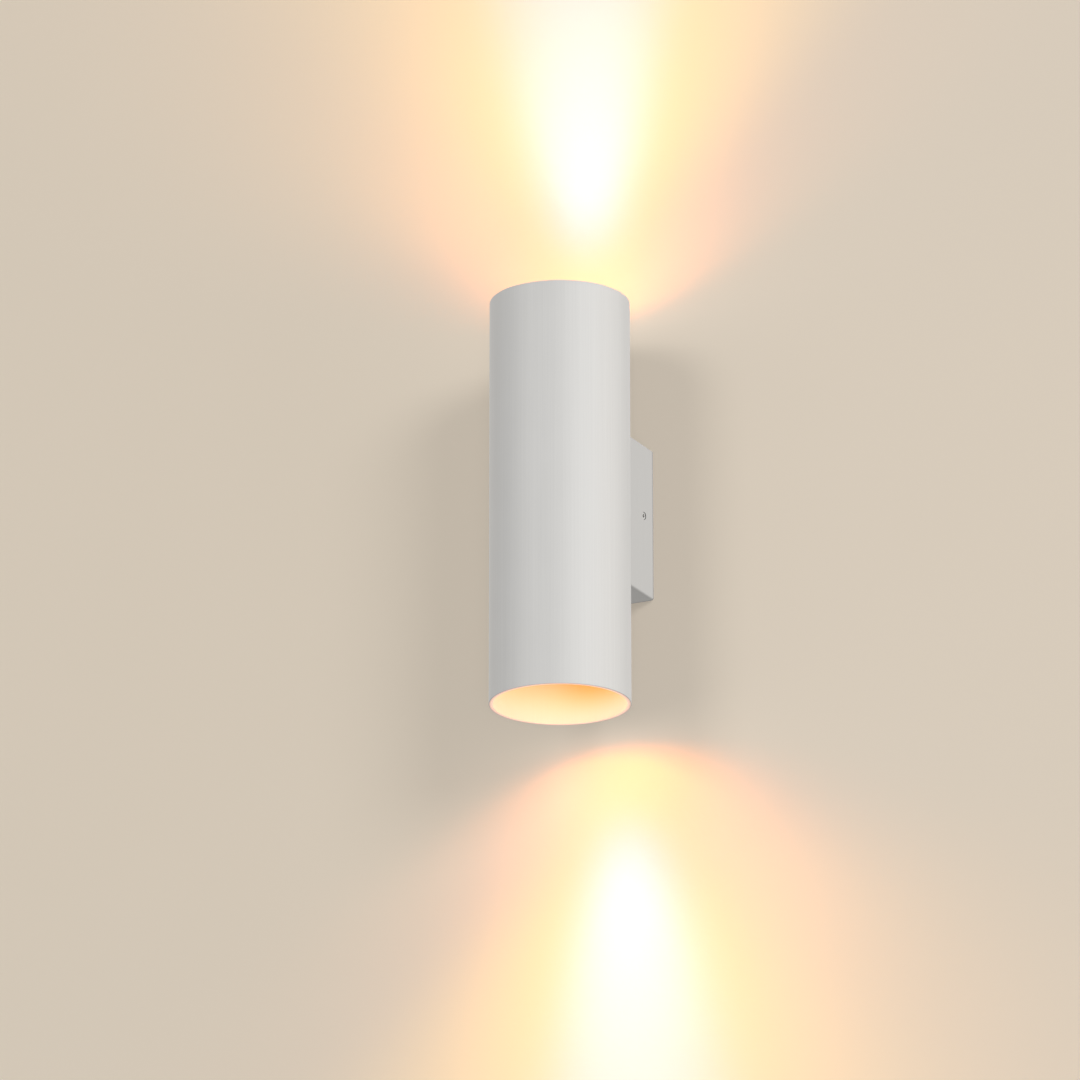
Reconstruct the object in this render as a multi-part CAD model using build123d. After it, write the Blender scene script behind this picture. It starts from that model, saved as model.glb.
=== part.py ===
"""A tube wall light that shines up and down.

Millimetres. The origin is the centre of the wall bracket's rear face, on the wall plane. The light stands
out from the wall towards -Y, +Z is up, and +X is to the right of a person who faces the wall. The upper and
the lower half of the works are the same pieces, the lower half turned half a turn about the tube's middle.
"""

import math
import os

from build123d import *

os.makedirs("parts", exist_ok=True)

# ---------------------------------------------------------------- driving dimensions
# Tube and wall box
tube_outer_diameter = 72.0
tube_wall = 2.0
tube_length = 215.0
tube_to_wall = 18.9
tube_rim_chamfer = 0.35
box_width = 53.4
box_height = 81.0
box_wall = 2.5
box_corner_radius = 1.2
box_edge_chamfer = 0.3
shadow_gap = 1.0
saddle_thickness = 2.0
assembly_clearance = 0.05

# Window through saddle and tube, where the terminal block and the leads pass
window_half_width = 18.0
window_corner_radius = 3.0
window_clearance = 1.2

# Set screws that hold the fitting on the bracket
set_screw_diameter = 4.0
set_screw_to_wall = 11.5
set_screw_above_middle = 2.1
set_screw_sink = 0.3
set_screw_key_size = 2.0
set_screw_key_depth = 2.2
set_screw_point_length = 0.8
set_screw_bevel = 0.3
set_screw_boss_diameter = 8.0
set_screw_boss_depth = 3.0
set_screw_tip_reach = 1.0
thread_clearance = 0.05

# Wall bracket
bracket_thickness = 1.5
bracket_height = 75.0
bracket_fold_radius = 1.0
flange_height = 28.0
flange_depth = 15.5
fold_relief = 1.2
wall_slot_width = 5.0
wall_slot_length = 9.0
wall_slot_spacing = 60.0
cable_hole_to_flange = 10.45
cable_hole_z = -21.0
cable_bore_diameter = 7.5
grommet_wall = 1.6
grommet_lip = 1.6
grommet_lip_thickness = 1.0
dish_depth = 1.2

# Machine screws with cross recess, their washers and nuts
screw_diameter = 3.0
screw_tip_bevel = 0.4
screw_head_diameter = 5.6
screw_head_height = 2.1
screw_head_rounding = 0.9
screw_recess_span = 3.1
screw_recess_width = 0.8
screw_recess_depth = 1.2
screw_spare_length = 1.5
washer_diameter = 6.4
washer_thickness = 0.5
nut_width = 5.5
nut_height = 2.4
fastener_margin = 3.6

# Lamp carrier: a C-shaped strip
carrier_width = 26.0
carrier_thickness = 1.2
carrier_bend_radius = 1.0
carrier_corner_radius = 3.0
carrier_reach_past_axis = 15.0
carrier_lead_opening = 16.0

# Terminal block: three poles, one above the other
pole_pitch = 7.5
block_width = 14.0
block_depth = 11.0
block_corner_radius = 0.8
block_groove = 0.5
clamp_height = 6.0
clamp_depth = 4.2
clamp_bore = 2.2
clamp_bore_pitch = 2.8
clamp_inset = 1.0
clamp_to_base = 4.2
clamp_screw_diameter = 2.6
clamp_screw_pitch = 6.4
clamp_screw_length = 4.6
clamp_screw_slot = 0.5
block_peg_diameter = 3.5
block_peg_barb = 0.35
moulding_clearance = 0.15

# Earth screw and lug on the carrier
earth_screw_x = -10.0
lug_diameter = 5.9
lug_thickness = 0.6
lug_barrel_length = 5.0
lug_barrel_wall = 0.4

# Lampholder with twist-lock for two pins
holder_diameter = 28.0
holder_height = 13.5
holder_top_bevel = 0.8
holder_bevel = 0.5
holder_screw_pitch = 21.0
holder_screw_seat = 6.75
holder_lead_depth = 2.0
pin_spacing = 10.0
pin_head_diameter = 5.0
pin_head_rounding = 0.5
pin_neck_diameter = 2.9
pin_tail_length = 6.0
twist_angle = 40.0
twist_clearance = 0.3
lip_thickness = 2.0
pin_cavity_depth = 6.0
contact_thickness = 0.5
contact_blade_length = 3.2
contact_width = 2.4

# Lamp: 50 mm reflector lamp on a twist-lock base
lamp_diameter = 50.0
lamp_length = 47.0
lamp_seat_gap = 0.3
lamp_base_diameter = 26.0
lamp_base_length = 12.0
lamp_base_wall = 2.0
lamp_base_floor = 4.0
lamp_shell_wall = 1.2
lamp_shell_lap = 1.5
lamp_shell_foot_step = 1.4
lamp_rim_length = 6.0
lamp_rim_step = 1.0
lamp_rim_bevel = 1.5
bowl_belly = 1.0
lamp_fins = 18
lamp_fin_depth = 1.4
lamp_fin_width = 1.6
lens_thickness = 1.6
lens_rounding = 0.55
lens_recess = 0.6
board_height = 31.0
board_thickness = 1.6
emitter_diameter = 11.0
emitter_thickness = 0.9
emitter_bevel = 0.3
reflector_wall = 0.8
reflector_belly = 3.0

# Internal leads
lead_diameter = 1.8
lead_insertion = 3.6
lead_swing = 15.4
live_turn_from_axis = 14.5
neutral_turn_from_axis = 17.5
earth_turn_from_axis = 23.5
earth_straight = 5.0

# ---------------------------------------------------------------- places worked out from them
tube_radius = tube_outer_diameter / 2
tube_bore = tube_radius - tube_wall
tube_axis_to_wall = tube_radius + tube_to_wall
axis_y = -tube_axis_to_wall
saddle_front = tube_radius + assembly_clearance
saddle_rear = saddle_front + saddle_thickness


def cylinder_y(radius, half_width=0.0):
    """The y of the rear of a cylinder about the tube's axis, half_width to the side of its middle."""
    return axis_y + math.sqrt(radius**2 - half_width**2)


# Terminal block and window
block_half_height = 1.5 * pole_pitch
window_half_height = block_half_height + window_clearance

# The carrier's web bears on the tube's bore along its two edges
web_rear_y = cylinder_y(tube_bore, carrier_width / 2) - assembly_clearance
web_front_y = web_rear_y - carrier_thickness
web_middle_y = (web_rear_y + web_front_y) / 2
carrier_screw_z = window_half_height + fastener_margin
shelf_inner_z = carrier_screw_z + fastener_margin
shelf_outer_z = shelf_inner_z + carrier_thickness
shelf_front_y = axis_y - carrier_reach_past_axis
box_screw_z = box_height / 2 - box_wall - fastener_margin

# Lampholders and lamps, above the carrier's middle
lamp_base_z = shelf_outer_z + holder_height + lamp_seat_gap
lamp_front_z = lamp_base_z + lamp_length
cavity_top = holder_height - lip_thickness
cavity_floor = cavity_top - pin_cavity_depth

# Set screws and bracket flanges
box_inner_x = box_width / 2 - box_wall
set_screw_tip_x = box_inner_x - set_screw_boss_depth - set_screw_tip_reach
flange_outer_x = set_screw_tip_x - assembly_clearance
set_screw_length = box_width / 2 - set_screw_sink - set_screw_tip_x

# Grommet in its dished seat
cable_hole_x = cable_hole_to_flange - flange_outer_x
grommet_hole_radius = cable_bore_diameter / 2 + grommet_wall
grommet_lip_radius = grommet_hole_radius + grommet_lip
dish_radius = grommet_lip_radius + moulding_clearance
dish_outer_radius = dish_radius + bracket_thickness


# ---------------------------------------------------------------- shared shapes
def post(radius, height):
    """A cylinder that stands on z = 0."""
    return Cylinder(radius, height, align=(Align.CENTER, Align.CENTER, Align.MIN))


def rounded_block(x_size, y_size, z_size, radius, along):
    """A block centred on the origin, its four edges along one axis rounded."""
    block = Box(x_size, y_size, z_size)
    return fillet(block.edges().filter_by(along), radius)


def to_wall(shape):
    """Turns a piece so that its +Z points at the wall."""
    return Rot(-90, 0, 0) * shape


def from_wall(shape):
    """Turns a piece so that its +Z points away from the wall."""
    return Rot(90, 0, 0) * shape


def turned(shape):
    """The same piece in the lower half: half a turn about the line through the tube's middle along Y."""
    return Rot(0, 180, 0) * shape


def window_cutter():
    """Cuts the window through the rear of tube and saddle."""
    height = 2 * window_half_height
    block = rounded_block(2 * window_half_width, tube_outer_diameter, height, window_corner_radius, Axis.Y)
    return Pos(0, axis_y + tube_radius, 0) * block


def centreline_holes():
    """Cutters for the four screws through the rear of tube and saddle."""
    hole = from_wall(Cylinder(screw_diameter / 2 + thread_clearance, tube_radius))
    heights = [side * z for z in (carrier_screw_z, box_screw_z) for side in (1, -1)]
    return [Pos(0, cylinder_y(tube_radius), z) * hole for z in heights]


def pan_screw(length):
    """A cross-recess screw, its head up, the underside of the head at z = 0."""
    head = post(screw_head_diameter / 2, screw_head_height)
    head = fillet(head.edges().sort_by(Axis.Z)[-1], screw_head_rounding)
    shank = Pos(0, 0, -length) * post(screw_diameter / 2, length)
    shank = chamfer(shank.edges().sort_by(Axis.Z)[0], screw_tip_bevel)
    recess = Box(screw_recess_span, screw_recess_width, 2 * screw_recess_depth)
    recess += Rot(0, 0, 90) * recess
    return head + shank - Pos(0, 0, screw_head_height) * recess


def screw_washer():
    """A flat washer that lies on z = 0."""
    bore = post(screw_diameter / 2 + thread_clearance, 2 * washer_thickness)
    return post(washer_diameter / 2, washer_thickness) - bore


# ---------------------------------------------------------------- tube body
def make_tube_body():
    """Plain tube, open at both ends, with the window and four screw holes in its rear wall."""
    outside = Cylinder(tube_radius, tube_length)
    tube = chamfer(outside.edges(), tube_rim_chamfer) - Cylinder(tube_bore, tube_length)
    bevel = Cone(tube_bore, tube_bore + tube_rim_chamfer, tube_rim_chamfer)
    bevel = Pos(0, 0, (tube_length - tube_rim_chamfer) / 2) * bevel
    tube = tube - bevel - turned(bevel)
    return Pos(0, axis_y, 0) * tube - window_cutter() - centreline_holes()


# ---------------------------------------------------------------- wall box
def make_wall_box():
    """Four walls and a hollow saddle, open towards the wall, with a threaded boss in each side."""
    depth = tube_axis_to_wall - shadow_gap
    in_place = Pos(0, -shadow_gap - depth / 2, 0)
    at_axis = Pos(0, axis_y, 0)
    outside = rounded_block(box_width, depth, box_height, box_corner_radius, Axis.Y)
    outside = chamfer(outside.faces().sort_by(Axis.Y)[-1].edges(), box_edge_chamfer)
    hollow = Box(box_width - 2 * box_wall, 2 * depth, box_height - 2 * box_wall)
    box = in_place * outside - at_axis * Cylinder(saddle_front, 2 * box_height)
    box -= in_place * hollow - at_axis * Cylinder(saddle_rear, 2 * box_height)

    hole_radius = set_screw_diameter / 2 + thread_clearance
    boss = post(set_screw_boss_diameter / 2, set_screw_boss_depth)
    bevel = Cone(hole_radius, hole_radius + set_screw_bevel, set_screw_bevel)
    for turn in (90, -90):
        sideways = Pos(0, -set_screw_to_wall, set_screw_above_middle) * Rot(0, turn, 0)
        box += sideways * Pos(0, 0, box_inner_x - set_screw_boss_depth) * boss
        box -= sideways * post(hole_radius, box_width)
        box -= sideways * Pos(0, 0, (box_width - set_screw_bevel) / 2) * bevel
    return box - window_cutter() - centreline_holes()


def make_set_screw():
    """The right set screw: headless, a hexagon socket outside and a bevelled point inside."""
    screw = post(set_screw_diameter / 2, set_screw_length)
    screw = chamfer(screw.edges().sort_by(Axis.Z)[0], set_screw_point_length)
    screw = chamfer(screw.edges().sort_by(Axis.Z)[-1], set_screw_bevel)
    socket = extrude(RegularPolygon(set_screw_key_size / 2, 6, major_radius=False), set_screw_key_depth)
    screw -= Pos(0, 0, set_screw_length - set_screw_key_depth) * socket
    return Pos(set_screw_tip_x, -set_screw_to_wall, set_screw_above_middle) * Rot(0, 90, 0) * screw


# ---------------------------------------------------------------- wall bracket and grommet
def make_wall_bracket():
    """Folded plate with two side flanges, two upright slots and a dished cable hole."""
    outer_fold = bracket_fold_radius + bracket_thickness
    width = 2 * flange_outer_x
    inner_width = width - 2 * bracket_thickness
    inner_depth = 2 * (flange_depth - bracket_thickness)
    # A folded ring about the flanges' front edge, of which the half at the wall stays
    ring = rounded_block(width, 2 * flange_depth, flange_height, outer_fold, Axis.Z)
    ring -= rounded_block(inner_width, inner_depth, 2 * flange_height, bracket_fold_radius, Axis.Z)
    wall_half = Box(2 * width, flange_depth, flange_height, align=(Align.CENTER, Align.MIN, Align.CENTER))
    channel = Pos(0, -flange_depth, 0) * (ring & wall_half)

    plate = rounded_block(width, bracket_thickness, bracket_height, outer_fold, Axis.Y)
    relief = Box(2 * outer_fold, 2 * bracket_thickness, flange_height + 2 * fold_relief)
    plate -= [Pos(side * flange_outer_x, 0, 0) * relief for side in (1, -1)]
    slot = SlotOverall(wall_slot_length, wall_slot_width, rotation=90)
    slot = from_wall(extrude(slot, 2 * bracket_thickness, both=True))
    bracket = channel + Pos(0, -bracket_thickness / 2, 0) * plate
    bracket -= [Pos(0, 0, side * wall_slot_spacing / 2) * slot for side in (1, -1)]

    at_hole = Pos(cable_hole_x, 0, cable_hole_z)
    bracket += at_hole * from_wall(post(dish_outer_radius, dish_depth + bracket_thickness))
    bracket -= at_hole * from_wall(post(dish_radius, dish_depth))
    bracket -= at_hole * from_wall(post(grommet_hole_radius, flange_depth))
    return bracket


grommet_rear = dish_depth - grommet_lip_thickness - assembly_clearance
grommet_front = dish_depth + bracket_thickness + grommet_lip_thickness + assembly_clearance
grommet_length = grommet_front - grommet_rear


def make_cable_grommet():
    """Rubber bush, a lip in the dish towards the wall and a lip on the bracket's front."""
    lip = post(grommet_lip_radius, grommet_lip_thickness)
    grommet = post(grommet_hole_radius - assembly_clearance, grommet_length)
    grommet += lip + Pos(0, 0, grommet_length - grommet_lip_thickness) * lip
    grommet -= post(cable_bore_diameter / 2, grommet_length)
    return Pos(cable_hole_x, -grommet_rear, cable_hole_z) * from_wall(grommet)


# ---------------------------------------------------------------- screws through saddle and tube
saddle_seat_y = cylinder_y(saddle_rear) + assembly_clearance
nut_seat_y = cylinder_y(tube_bore, nut_width / math.sqrt(3)) - assembly_clearance


def centreline_screws(height, grip):
    """Two pan screws, above and below the middle, driven from inside the box."""
    screw = to_wall(pan_screw(grip + washer_thickness + screw_spare_length))
    return [Pos(0, saddle_seat_y + washer_thickness, side * height) * screw for side in (1, -1)]


def centreline_washers(height):
    """The washers under those screws' heads."""
    return [Pos(0, saddle_seat_y, side * height) * to_wall(screw_washer()) for side in (1, -1)]


def make_box_nuts():
    """Two hexagon nuts that bear by their corners on the tube's bore."""
    nut = extrude(RegularPolygon(nut_width / 2, 6, major_radius=False), nut_height)
    nut -= post(screw_diameter / 2 + thread_clearance, nut_height)
    return [Pos(0, nut_seat_y, side * box_screw_z) * from_wall(nut) for side in (1, -1)]


# ---------------------------------------------------------------- lamp carrier
def make_lamp_carrier():
    """C-shaped strip: an upright web with a shelf above and a shelf below."""
    reach = web_rear_y - shelf_front_y
    outer_bend = carrier_bend_radius + carrier_thickness
    inner_reach = 2 * (reach - carrier_thickness)
    # A ring about the shelves' front edge, of which the half at the wall stays
    ring = rounded_block(carrier_width, 2 * reach, 2 * shelf_outer_z, outer_bend, Axis.X)
    ring -= rounded_block(2 * carrier_width, inner_reach, 2 * shelf_inner_z, carrier_bend_radius, Axis.X)
    wall_half = Box(carrier_width, reach, 2 * shelf_outer_z, align=(Align.CENTER, Align.MIN, Align.CENTER))
    carrier = Pos(0, shelf_front_y, 0) * (ring & wall_half)
    corners = carrier.edges().filter_by(Axis.Z).sort_by(Axis.Y)[:4]
    carrier = fillet(corners, carrier_corner_radius)

    tapped = Cylinder(screw_diameter / 2 + thread_clearance, 2 * carrier_thickness)
    peg_hole = Cylinder(block_peg_diameter / 2 + moulding_clearance, 2 * carrier_thickness)
    carrier -= Pos(earth_screw_x, web_middle_y, 0) * from_wall(tapped)
    for side in (1, -1):
        carrier -= Pos(0, web_middle_y, side * carrier_screw_z) * from_wall(tapped)
        carrier -= Pos(0, web_middle_y, side * pole_pitch / 2) * from_wall(peg_hole)
        shelf_middle_z = side * (shelf_inner_z + shelf_outer_z) / 2
        carrier -= Pos(0, axis_y, shelf_middle_z) * Cylinder(carrier_lead_opening / 2, 2 * carrier_thickness)
        for screw_side in (1, -1):
            carrier -= Pos(0, axis_y + screw_side * holder_screw_pitch / 2, shelf_middle_z) * tapped
    return carrier


# ---------------------------------------------------------------- terminal block
pole_heights = [pole_pitch, 0.0, -pole_pitch]
clamp_y = web_rear_y + clamp_to_base
clamp_length = block_width - 2 * clamp_inset
clamp_tip_y = clamp_y + clamp_bore / 2


def make_terminal_block():
    """Moulded block with a tunnel for each clamp, two screw wells each, and two snap pegs in the web."""
    height = 2 * block_half_height
    block = rounded_block(block_width, block_depth, height, block_corner_radius, Axis.Y)
    block = Pos(0, web_rear_y + block_depth / 2, 0) * block
    slack = moulding_clearance
    tunnel = Box(clamp_length + slack, clamp_depth + slack, clamp_height + slack)
    entry = Box(2 * block_width, clamp_bore + slack, clamp_bore_pitch + clamp_bore)
    well = to_wall(post(clamp_screw_diameter / 2 + slack, block_depth))
    for z in pole_heights:
        block -= Pos(0, clamp_y, z) * (tunnel + entry)
        block -= [Pos(side * clamp_screw_pitch / 2, clamp_y, z) * well for side in (1, -1)]

    groove = Box(2 * block_width, 2 * block_groove, block_groove)
    peg_length = carrier_thickness + slack
    barb_radius = block_peg_diameter / 2 + block_peg_barb
    barb = Cone(barb_radius, block_peg_diameter / 2, carrier_thickness)
    # The barb stands past the edge of its hole, in front of the web
    peg = post(block_peg_diameter / 2, peg_length) + Pos(0, 0, peg_length + carrier_thickness / 2) * barb
    for side in (1, -1):
        block -= Pos(0, web_rear_y + block_depth, side * pole_pitch / 2) * groove
        block += Pos(0, web_rear_y, side * pole_pitch / 2) * from_wall(peg)
    return block


def make_terminal_clamps():
    """One brass sleeve a pole, each with two bores side by side and two tapped holes."""
    clamp = Box(clamp_length, clamp_depth, clamp_height)
    bore = Rot(0, 90, 0) * Cylinder(clamp_bore / 2, clamp_length)
    tapped = to_wall(post(clamp_screw_diameter / 2 + thread_clearance, clamp_depth))
    for side in (1, -1):
        clamp -= Pos(0, 0, side * clamp_bore_pitch / 2) * bore
        clamp -= Pos(side * clamp_screw_pitch / 2, 0, 0) * tapped
    return [Pos(0, clamp_y, z) * clamp for z in pole_heights]


def make_clamp_screws():
    """Two slotted screws a pole, down on the conductors."""
    screw = post(clamp_screw_diameter / 2, clamp_screw_length)
    screw -= Pos(0, 0, clamp_screw_length) * Box(clamp_screw_diameter, clamp_screw_slot, 2 * clamp_screw_slot)
    places = [(side * clamp_screw_pitch / 2, z) for z in pole_heights for side in (1, -1)]
    return [Pos(x, clamp_tip_y, z) * to_wall(screw) for x, z in places]


# ---------------------------------------------------------------- earth screw and lug
lug_rear_y = web_front_y - assembly_clearance
lug_bore = lead_diameter / 2 + assembly_clearance
lug_barrel_radius = lug_bore + lug_barrel_wall
barrel_start_x = earth_screw_x + lug_diameter / 2
barrel_y = lug_rear_y - lug_barrel_radius


def make_earth_lug():
    """Ring terminal flat on the web, its crimp barrel towards +X."""
    tongue_length = lug_diameter / 2 + lug_barrel_wall
    towards_barrel = (Align.MIN, Align.CENTER, Align.MIN)
    tongue = Box(tongue_length, 2 * lug_barrel_radius, lug_thickness, align=towards_barrel)
    flat = post(lug_diameter / 2, lug_thickness) + tongue
    flat -= post(screw_diameter / 2 + thread_clearance, lug_thickness)
    barrel = post(lug_barrel_radius, lug_barrel_length)
    barrel -= Pos(0, 0, lug_barrel_wall) * post(lug_bore, lug_barrel_length)
    flat = Pos(earth_screw_x, lug_rear_y, 0) * from_wall(flat)
    return flat + Pos(barrel_start_x, barrel_y, 0) * Rot(0, 90, 0) * barrel


def make_earth_screw():
    """Short pan screw into the web from the front."""
    screw = from_wall(pan_screw(lug_thickness + carrier_thickness + 2 * assembly_clearance))
    return Pos(earth_screw_x, lug_rear_y - lug_thickness - assembly_clearance, 0) * screw


# ---------------------------------------------------------------- lampholder
def twist_slots(width, depth):
    """Two arc slots, from the locked place on the X axis to the way in, standing on z = 0."""
    paths = [CenterArc((0, 0), pin_spacing / 2, start, twist_angle) for start in (0, 180)]
    return [extrude(SlotArc(path, width), depth) for path in paths]


def make_lampholder():
    """Ceramic puck on the upper shelf: arc slots in its lip, wider cavities below, lead holes from behind."""
    body = post(holder_diameter / 2, holder_height)
    body = chamfer(body.edges().sort_by(Axis.Z)[-1], holder_top_bevel)
    body = chamfer(body.edges().sort_by(Axis.Z)[0], holder_bevel)
    neck_width = pin_neck_diameter + 2 * twist_clearance
    head_width = pin_head_diameter + 2 * twist_clearance
    opening = Pos(0, 0, cavity_floor)
    body -= [opening * slot for slot in twist_slots(neck_width, holder_height)]
    body -= [opening * slot for slot in twist_slots(head_width, pin_cavity_depth)]
    slack = 2 * moulding_clearance
    leg_slot = Box(contact_thickness + slack, contact_width + slack, holder_height)
    for turn in (0, 180):
        way_in = Rot(0, 0, turn + twist_angle) * Pos(pin_spacing / 2, 0, 0)
        body -= opening * way_in * post(head_width / 2, holder_height)
        at_pin = Rot(0, 0, turn) * Pos(pin_spacing / 2, 0, 0)
        body -= at_pin * Pos(0, 0, cavity_floor - holder_height / 2) * leg_slot
        body -= at_pin * post(lead_diameter / 2 + moulding_clearance, holder_lead_depth)
        at_screw = Rot(0, 0, turn) * Pos(0, holder_screw_pitch / 2, 0)
        body -= at_screw * post(screw_diameter / 2 + moulding_clearance, holder_height)
        body -= at_screw * Pos(0, 0, holder_screw_seat) * post(washer_diameter / 2, holder_height)
    return Pos(0, axis_y, shelf_outer_z) * body


def make_holder_contacts():
    """Two bent strips: a blade on the cavity's floor under the pin's head, and a leg down to the lead."""
    standing = (Align.CENTER, Align.CENTER, Align.MIN)
    floor = cavity_floor + assembly_clearance
    blade = Box(contact_blade_length, contact_width, contact_thickness, align=standing)
    leg = Box(contact_thickness, contact_width, floor - holder_lead_depth + contact_thickness, align=standing)
    contact = Pos(0, 0, floor) * blade + Pos(0, 0, holder_lead_depth) * leg
    return [Pos(side * pin_spacing / 2, axis_y, shelf_outer_z) * contact for side in (1, -1)]


def make_holder_screws():
    """Two screws from the lampholder's wells down into the shelf."""
    screw = pan_screw(holder_screw_seat + carrier_thickness + screw_spare_length)
    seat_z = shelf_outer_z + holder_screw_seat
    return [Pos(0, axis_y + side * holder_screw_pitch / 2, seat_z) * screw for side in (1, -1)]


# ---------------------------------------------------------------- lamp, made standing on its base at z = 0
base_radius = lamp_base_diameter / 2
front_radius = lamp_diameter / 2
shell_bore = front_radius - lamp_shell_wall
shell_foot_z = lamp_base_length - lamp_shell_lap
rim_z = lamp_length - lamp_rim_length
knee_z = rim_z - lamp_rim_bevel
lens_z = lamp_length - lens_recess - lens_thickness
emitter_z = board_height + board_thickness


def at_lampholder(shape):
    """Puts a lamp piece on the upper lampholder."""
    return Pos(0, axis_y, lamp_base_z) * shape


def revolved(outline):
    """A solid of revolution about Z from a closed half outline drawn in X and Z."""
    return revolve(Plane.XZ * make_face(outline), Axis.Z)


def bowl_line(outwards):
    """Half outline of the lamp's bowl from foot to knee, moved sideways."""
    foot = (base_radius + lamp_shell_foot_step + outwards, shell_foot_z)
    knee = (front_radius - lamp_rim_step + outwards, knee_z)
    belly = ((foot[0] + knee[0]) / 2 + bowl_belly, (foot[1] + knee[1]) / 2)
    return ThreePointArc(foot, belly, knee)


def bowl_solid(outwards):
    """The whole space inside that outline and the straight rim above it."""
    bowl = bowl_line(outwards)
    rim_radius = front_radius + outwards
    rim = Polyline(bowl @ 1, (rim_radius, rim_z), (rim_radius, lamp_length), (0, lamp_length))
    return revolved(bowl + rim + Polyline((0, lamp_length), (0, shell_foot_z), bowl @ 0))


def make_lamp_shell():
    """Cast shell with upright fins round its bowl."""
    outer = bowl_solid(0)
    standing = (Align.MIN, Align.CENTER, Align.MIN)
    fin = Pos(0, 0, shell_foot_z) * Box(front_radius, lamp_fin_width, knee_z - shell_foot_z, align=standing)
    fins = [Rot(0, 0, step * 360 / lamp_fins) * fin for step in range(lamp_fins)]
    fin_ring = fins[0].fuse(*fins[1:]) & bowl_solid(lamp_fin_depth) & post(front_radius, lamp_length)
    return at_lampholder(outer + (fin_ring - outer) - bowl_solid(-lamp_shell_wall))


def make_lamp_base():
    """Plastic cap with an end wall that the pins stand in."""
    cap = post(base_radius, lamp_base_length)
    cap = chamfer(cap.edges().sort_by(Axis.Z)[0], lamp_base_wall / 2)
    cap -= Pos(0, 0, lamp_base_floor) * post(base_radius - lamp_base_wall, lamp_base_length)
    pin_hole = post(pin_neck_diameter / 2 + thread_clearance, lamp_base_length)
    return at_lampholder(cap - [Pos(side * pin_spacing / 2, 0, 0) * pin_hole for side in (1, -1)])


def make_lamp_pins():
    """Two headed pins; at rest their heads are under the lampholder's lip, locked."""
    reach = lip_thickness + lamp_seat_gap + twist_clearance
    head_length = pin_cavity_depth - 2 * twist_clearance - contact_thickness
    head = post(pin_head_diameter / 2, head_length)
    head = fillet(head.edges(), pin_head_rounding)
    pin = Pos(0, 0, -reach) * post(pin_neck_diameter / 2, reach + pin_tail_length)
    pin += Pos(0, 0, -reach - head_length) * head
    return [at_lampholder(Pos(side * pin_spacing / 2, 0, 0) * pin) for side in (1, -1)]


def make_lamp_board():
    """Round board whose lower edge lies inside the shell's bowl."""
    level = Line((0, board_height), (lamp_diameter, board_height))
    bowl_x = (bowl_line(-lamp_shell_wall) & level).vertices()[0].X
    return at_lampholder(Pos(0, 0, board_height) * post(bowl_x - assembly_clearance, board_thickness))


def make_lamp_emitter():
    """Round light source on the board."""
    emitter = post(emitter_diameter / 2, emitter_thickness)
    emitter = chamfer(emitter.edges().sort_by(Axis.Z)[-1], emitter_bevel)
    return at_lampholder(Pos(0, 0, emitter_z) * emitter)


def make_lamp_reflector():
    """Thin flared cup from the emitter up to the lens."""
    foot = (emitter_diameter / 2 + assembly_clearance, emitter_z + assembly_clearance)
    top = (shell_bore - reflector_wall - assembly_clearance, lens_z - assembly_clearance)
    belly = ((foot[0] + top[0] + reflector_belly) / 2, (foot[1] + top[1] - reflector_belly) / 2)
    inner = ThreePointArc(foot, belly, top)
    outer = Pos(reflector_wall, 0) * inner
    return at_lampholder(revolved(inner + Line(inner @ 1, outer @ 1) + outer + Line(outer @ 0, inner @ 0)))


def make_lamp_lens():
    """Clear front disc inside the shell's rim."""
    disc = post(shell_bore - assembly_clearance, lens_thickness)
    disc = fillet(disc.edges().sort_by(Axis.Z)[-1], lens_rounding)
    return at_lampholder(Pos(0, 0, lens_z) * disc)


# ---------------------------------------------------------------- internal leads
lead_start_x = clamp_length / 2 - lead_insertion
lead_end_z = shelf_outer_z + holder_lead_depth - assembly_clearance
bore_offset = clamp_bore_pitch / 2


def lead(points):
    """A round lead along straight runs joined by arcs as large as the runs allow."""
    points = [Vector(*point) for point in points]
    runs = [after - before for before, after in zip(points, points[1:])]
    radii = []
    for before, after in zip(runs, runs[1:]):
        half_turn = math.radians(before.get_angle(after) / 2)
        radii.append(0.45 * min(before.length, after.length) / math.tan(half_turn))
    path = FilletPolyline(*points, radius=radii)
    tube = sweep(Plane(origin=path @ 0, z_dir=path % 0) * Circle(lead_diameter / 2), path=path)
    share = tube.volume / (math.pi * lead_diameter**2 / 4 * path.length)
    print(f"lead {path.length:.1f} mm, radii {[round(r, 1) for r in radii]}, volume share {share:.4f}")
    return tube


def holder_lead(level, x_side, z_side, turn_from_axis):
    """From the block's +X side round the web's edge to a lampholder's lead hole."""
    hole_x = x_side * pin_spacing / 2
    return lead(
        [
            (lead_start_x, clamp_y, level),
            (lead_swing, clamp_y, level),
            (lead_swing, axis_y + turn_from_axis, level),
            (hole_x, axis_y, level),
            (hole_x, axis_y, z_side * lead_end_z),
        ]
    )


def make_earth_lead():
    """From the middle pole round the web's edge to the lug."""
    level = bore_offset
    return lead(
        [
            (lead_start_x, clamp_y, level),
            (lead_swing, clamp_y, level),
            (lead_swing, axis_y + earth_turn_from_axis, level),
            (barrel_start_x + lug_barrel_length + earth_straight, barrel_y, 0),
            (barrel_start_x + lug_barrel_wall + assembly_clearance, barrel_y, 0),
        ]
    )


# ---------------------------------------------------------------- build and write
def write(node, shapes):
    """One file a node; several solids go in as one group."""
    solids = [solid for shape in shapes for solid in shape.solids()]
    whole = solids[0] if len(solids) == 1 else Compound(children=solids)
    export_step(whole, f"parts/{node}.step")


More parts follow.
